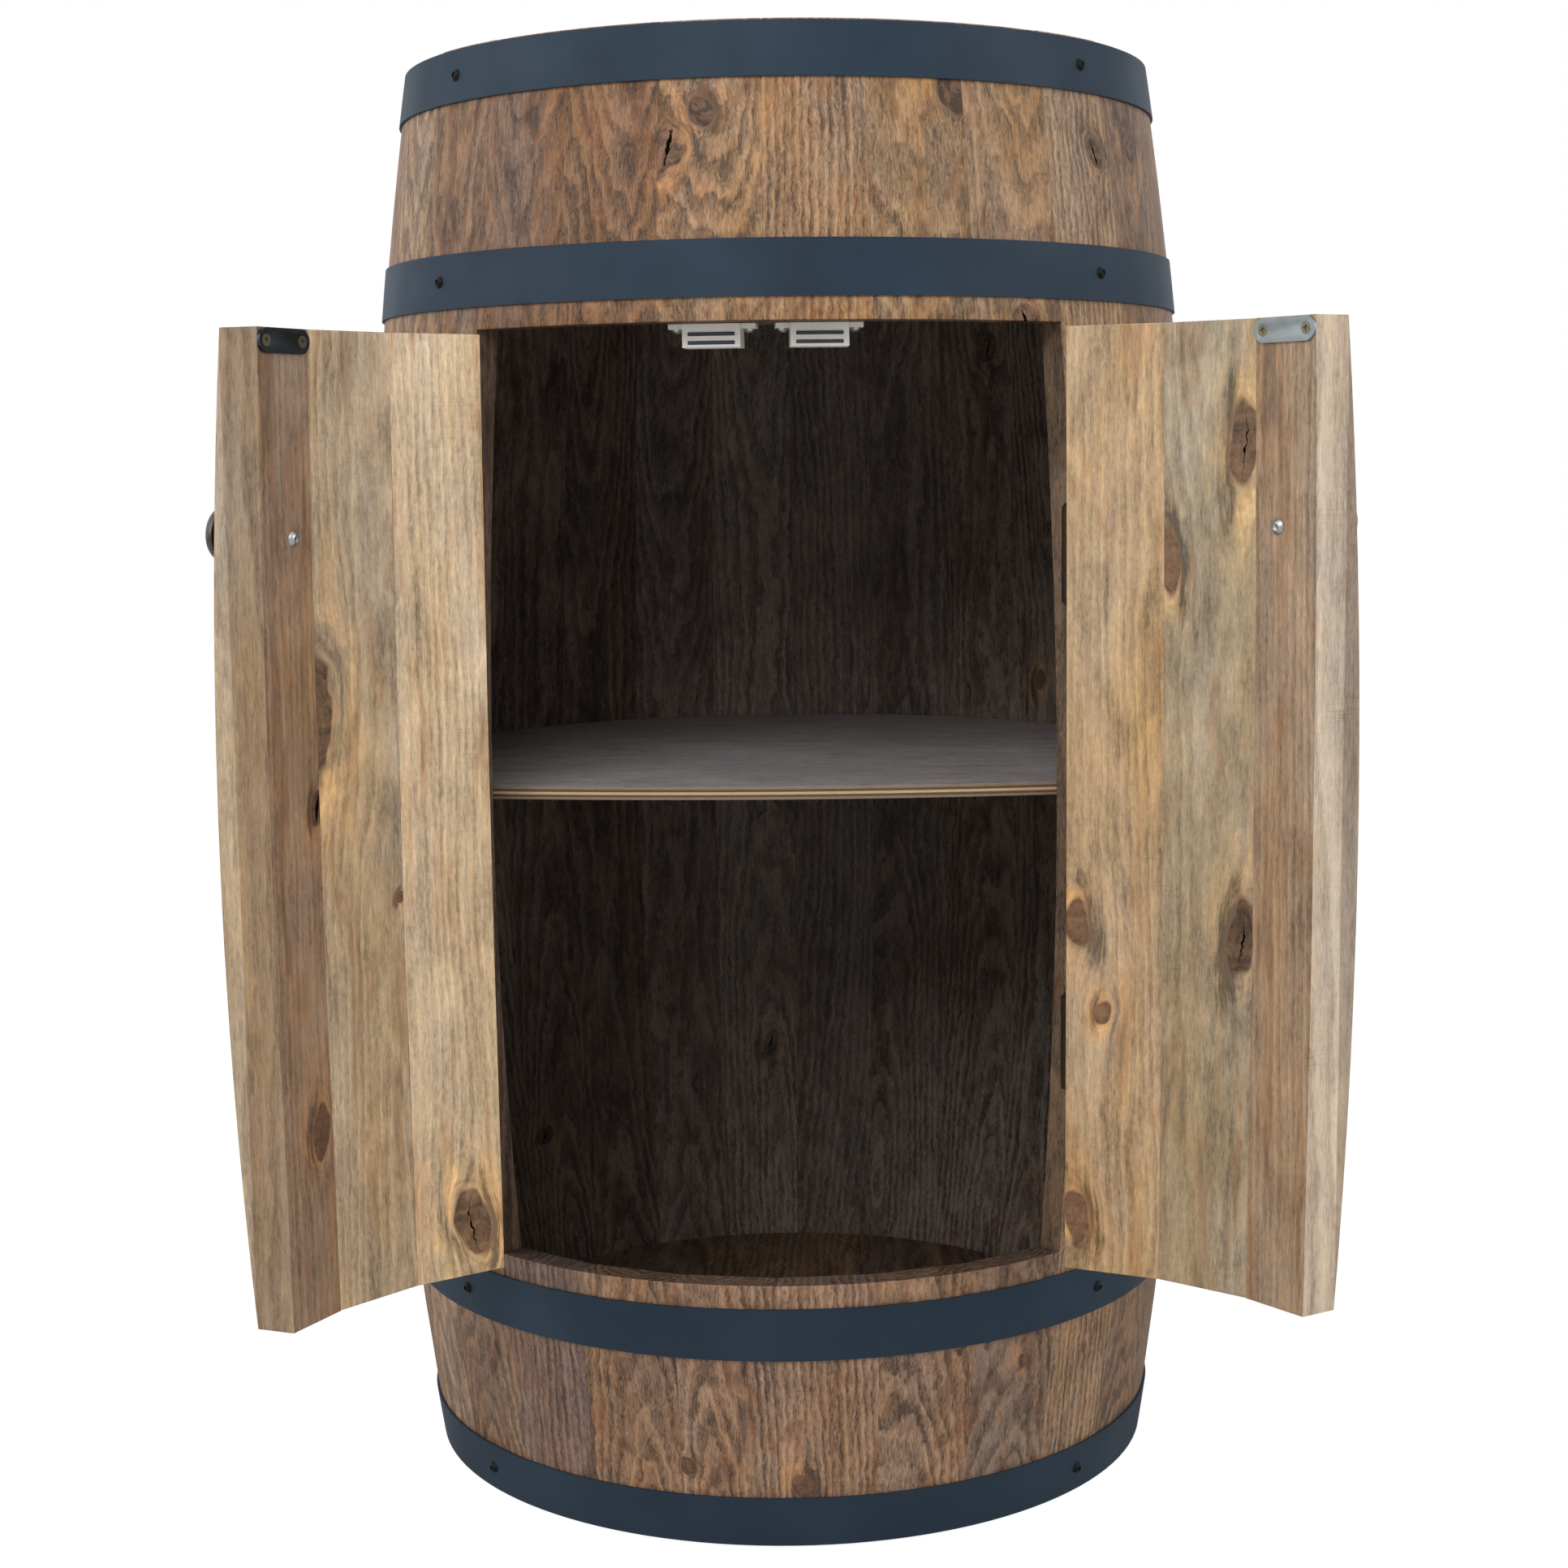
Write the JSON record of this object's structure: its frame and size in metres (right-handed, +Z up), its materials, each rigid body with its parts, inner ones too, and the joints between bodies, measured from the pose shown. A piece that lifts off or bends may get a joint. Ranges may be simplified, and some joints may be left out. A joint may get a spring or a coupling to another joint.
{
  "type": "barrel bar cabinet",
  "caption": "Upright wooden barrel with steel hoops whose bowed front opens as a pair of doors onto a shelf and a floor for bottles and glasses.",
  "frame": {"origin": "on the floor, on the barrel's upright axis", "axes": "+Z up along the barrel's axis; -Y is the front, where the doorway is; +X to the right when facing the doorway"},
  "size_m": [0.5633, 0.5569, 0.8],
  "materials": {
    "barrel_pine": "stained and satin lacquered",
    "door_pine": "stained and satin lacquered",
    "head_pine": "stained and satin lacquered",
    "shelf_plywood": "stained plywood with a raw edge",
    "inner_pine": "stained",
    "hoop_steel": "satin powder coat, blue-grey",
    "hinge_steel": "satin black",
    "black_screws": "blackened",
    "door_screws": "zinc plated",
    "strike_steel": "zinc plated",
    "pole_steel": "zinc plated",
    "catch_plastic": "moulded, pale grey",
    "knob_beech": "turned, stained very dark"
  },
  "bodies": {
    "barrel": {"body_hinge_leaves": "hinge_steel", "body_screws": "black_screws", "bottom_head_boards": "head_pine", "bottom_hoop": "hoop_steel", "catch_block": "inner_pine", "catch_housings": "catch_plastic", "catch_poles": "pole_steel", "hinge_pins": "hinge_steel", "lintel_stave_1": "barrel_pine", "lintel_stave_2": "barrel_pine", "lintel_stave_3": "barrel_pine", "lintel_stave_4": "barrel_pine", "lintel_stave_5": "barrel_pine", "lintel_stave_6": "barrel_pine", "lower_hoop": "hoop_steel", "shelf": "shelf_plywood", "shelf_cleats": "inner_pine", "sill_stave_1": "barrel_pine", "sill_stave_2": "barrel_pine", "sill_stave_3": "barrel_pine", "sill_stave_4": "barrel_pine", "sill_stave_5": "barrel_pine", "sill_stave_6": "barrel_pine", "stave_01": "barrel_pine", "stave_02": "barrel_pine", "stave_03": "barrel_pine", "stave_04": "barrel_pine", "stave_05": "barrel_pine", "stave_06": "barrel_pine", "stave_07": "barrel_pine", "stave_08": "barrel_pine", "stave_09": "barrel_pine", "stave_10": "barrel_pine", "stave_11": "barrel_pine", "stave_12": "barrel_pine", "stave_13": "barrel_pine", "stave_14": "barrel_pine", "stave_15": "barrel_pine", "stave_16": "barrel_pine", "stave_17": "barrel_pine", "stave_18": "barrel_pine", "stave_19": "barrel_pine", "stave_20": "barrel_pine", "top_head_boards": "head_pine", "top_hoop": "hoop_steel", "upper_hoop": "hoop_steel"},
    "left_door": {"left_door_hinge_leaves": "hinge_steel", "left_door_screws": "door_screws", "left_door_stave_1": "door_pine", "left_door_stave_2": "door_pine", "left_door_stave_3": "door_pine", "left_knob": "knob_beech", "left_strike_plate": "strike_steel"},
    "right_door": {"right_door_hinge_leaves": "hinge_steel", "right_door_screws": "door_screws", "right_door_stave_1": "door_pine", "right_door_stave_2": "door_pine", "right_door_stave_3": "door_pine", "right_knob": "knob_beech", "right_strike_plate": "strike_steel"}
  },
  "joints": [
    {"name": "left_door_hinge", "type": "hinge", "parent": "barrel", "child": "left_door", "pos_m": [-0.15611, -0.183, 0.4], "axis": [0, 0, -1], "range_deg": [-111, 29]},
    {"name": "right_door_hinge", "type": "hinge", "parent": "barrel", "child": "right_door", "pos_m": [0.15611, -0.183, 0.4], "axis": [0, 0, 1], "range_deg": [-124.5, 15.5]}
  ]
}
